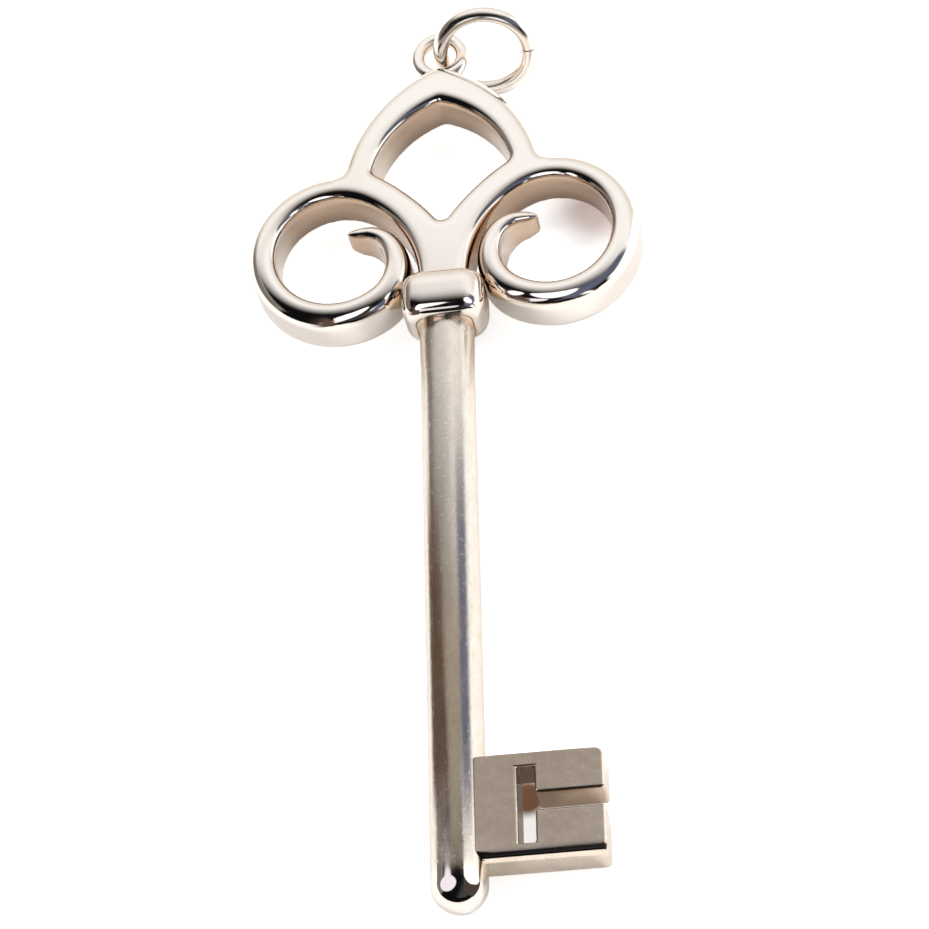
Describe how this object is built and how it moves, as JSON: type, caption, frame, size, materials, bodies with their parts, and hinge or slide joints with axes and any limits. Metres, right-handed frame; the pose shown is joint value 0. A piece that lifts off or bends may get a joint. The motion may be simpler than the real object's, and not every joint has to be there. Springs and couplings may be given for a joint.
{
  "type": "skeleton key pendant",
  "caption": "Polished silver skeleton key pendant with a scrollwork bow under a pointed arch, a round shank, a slotted bit and a swinging chain ring.",
  "frame": {"origin": "middle of the key's length and width, at the height of its lowest point, the bottom of the chain ring", "axes": "+X towards the bit's side, +Y along the shank towards the bow, +Z out of the polished face"},
  "size_m": [0.027, 0.0668, 0.0069],
  "materials": {
    "polished_silver": "mirror polish",
    "satin_silver": "satin"
  },
  "bodies": {
    "key": {"bow_arch": "polished_silver", "scroll_left": "polished_silver", "scroll_right": "polished_silver", "neck": "polished_silver", "collar": "polished_silver", "shank": "satin_silver", "bit": "satin_silver", "hanging_loop": "polished_silver"},
    "link": {"bail_link": "polished_silver"}
  },
  "joints": [
    {"name": "link_swing", "type": "hinge", "parent": "key", "child": "link", "pos_m": [0, 0.03132, 0.00345], "axis": [0, 0, 1], "range_deg": [-5, 200]}
  ]
}
